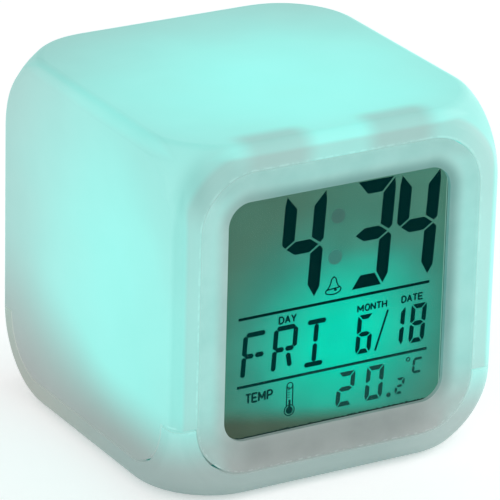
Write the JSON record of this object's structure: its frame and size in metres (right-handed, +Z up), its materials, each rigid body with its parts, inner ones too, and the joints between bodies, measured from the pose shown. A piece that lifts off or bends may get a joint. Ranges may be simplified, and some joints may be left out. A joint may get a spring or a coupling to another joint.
{
  "type": "talking clock",
  "caption": "Talking cube clock with a glowing milky case, a large display, rear buttons and speaker, a press-down cover and a battery door.",
  "frame": {"origin": "middle of the plane that the four feet stand on", "axes": "+Z up, -Y towards the display side, +X to the right seen from the display side"},
  "size_m": [0.08, 0.08, 0.0808],
  "materials": {
    "cover_plastic": "translucent milky moulded plastic, satin",
    "bezel_plastic": "milky white moulded plastic, satin",
    "tray_plastic": "milky white moulded plastic, satin",
    "foot_rubber": "soft grey rubber",
    "button_plastic": "pale grey moulded plastic",
    "dark_plastic": "black moulded plastic",
    "inner_plastic": "plain white moulded plastic",
    "steel": "plated steel",
    "spring_steel": "plated spring wire",
    "cell_jacket": "printed film over a steel can",
    "clear_glass": "clear polished glass with a polarising film",
    "display_ink": "dark liquid crystal segments",
    "light_plate": "milky light guide, lit teal",
    "circuit_board": "green glass fibre board",
    "rubber_black": "black rubber and resin",
    "lamp_lens": "clear cast resin",
    "speaker_paper": "pressed black paper",
    "magnet_iron": "zinc plated iron",
    "lead_red": "red wire insulation",
    "lead_black": "black wire insulation"
  },
  "bodies": {
    "chassis": {"base_tray": "tray_plastic", "floor_screws": "steel", "board_screws": "steel", "battery_terminal_left": "spring_steel", "battery_terminal_right": "spring_steel", "battery_link_front": "spring_steel", "battery_link_back_left": "spring_steel", "battery_link_back_right": "spring_steel", "lcd_front_glass": "clear_glass", "lcd_rear_glass": "clear_glass", "lcd_digits": "display_ink", "backlight_diffuser": "light_plate", "display_holder": "inner_plastic", "lcd_contact_strip": "rubber_black", "main_board": "circuit_board", "controller_blob": "rubber_black", "voice_chip": "rubber_black", "crystal": "steel", "capacitor": "dark_plastic", "temperature_sensor": "rubber_black", "light_board": "circuit_board", "lamp_left": "lamp_lens", "lamp_middle": "lamp_lens", "lamp_right": "lamp_lens", "rear_bracket": "inner_plastic", "speaker_basket": "magnet_iron", "speaker_magnet": "magnet_iron", "speaker_cone": "speaker_paper", "control_board": "circuit_board", "light_switch": "dark_plastic", "talk_key": "dark_plastic", "battery_lead_black": "lead_black", "battery_lead_red": "lead_red", "speaker_lead_black": "lead_black", "speaker_lead_red": "lead_red", "foot_front_left": "foot_rubber", "return_spring_front_left": "spring_steel", "foot_back_left": "foot_rubber", "return_spring_back_left": "spring_steel", "foot_front_right": "foot_rubber", "return_spring_front_right": "spring_steel", "foot_back_right": "foot_rubber", "return_spring_back_right": "spring_steel", "battery_1": "cell_jacket", "button_switch_1": "dark_plastic", "battery_2": "cell_jacket", "button_switch_2": "dark_plastic", "battery_3": "cell_jacket", "button_switch_3": "dark_plastic", "battery_4": "cell_jacket", "button_switch_4": "dark_plastic"},
    "cover": {"upper_cover": "cover_plastic", "front_bezel": "bezel_plastic", "cover_screws": "steel"},
    "door": {"battery_door": "tray_plastic"},
    "slider": {"light_slider": "button_plastic"},
    "button_1_cap": {"button_1": "button_plastic"},
    "button_2_cap": {"button_2": "button_plastic"},
    "button_3_cap": {"button_3": "button_plastic"},
    "button_4_cap": {"button_4": "button_plastic"}
  },
  "joints": [
    {"name": "cover_press", "type": "slide", "parent": "chassis", "child": "cover", "axis": [0, 0, -1], "range_m": [0, 0.0003], "stiffness_N_per_m": 4000, "springref_m": -0.001, "deforming": ["return_spring_front_left", "return_spring_back_left", "return_spring_front_right", "return_spring_back_right"]},
    {"name": "door_hinge", "type": "hinge", "parent": "chassis", "child": "door", "pos_m": [0, 0.0261, 0.0008], "axis": [1, 0, 0], "range_deg": [0, 75]},
    {"name": "light_slide", "type": "slide", "parent": "cover", "child": "slider", "axis": [1, 0, 0], "range_m": [0, 0.0025]},
    {"name": "button_1_press", "type": "slide", "parent": "cover", "child": "button_1_cap", "axis": [0, -1, 0], "range_m": [0, 0.0005], "stiffness_N_per_m": 2000, "springref_m": -0.0005},
    {"name": "button_2_press", "type": "slide", "parent": "cover", "child": "button_2_cap", "axis": [0, -1, 0], "range_m": [0, 0.0005], "stiffness_N_per_m": 2000, "springref_m": -0.0005},
    {"name": "button_3_press", "type": "slide", "parent": "cover", "child": "button_3_cap", "axis": [0, -1, 0], "range_m": [0, 0.0005], "stiffness_N_per_m": 2000, "springref_m": -0.0005},
    {"name": "button_4_press", "type": "slide", "parent": "cover", "child": "button_4_cap", "axis": [0, -1, 0], "range_m": [0, 0.0005], "stiffness_N_per_m": 2000, "springref_m": -0.0005}
  ]
}
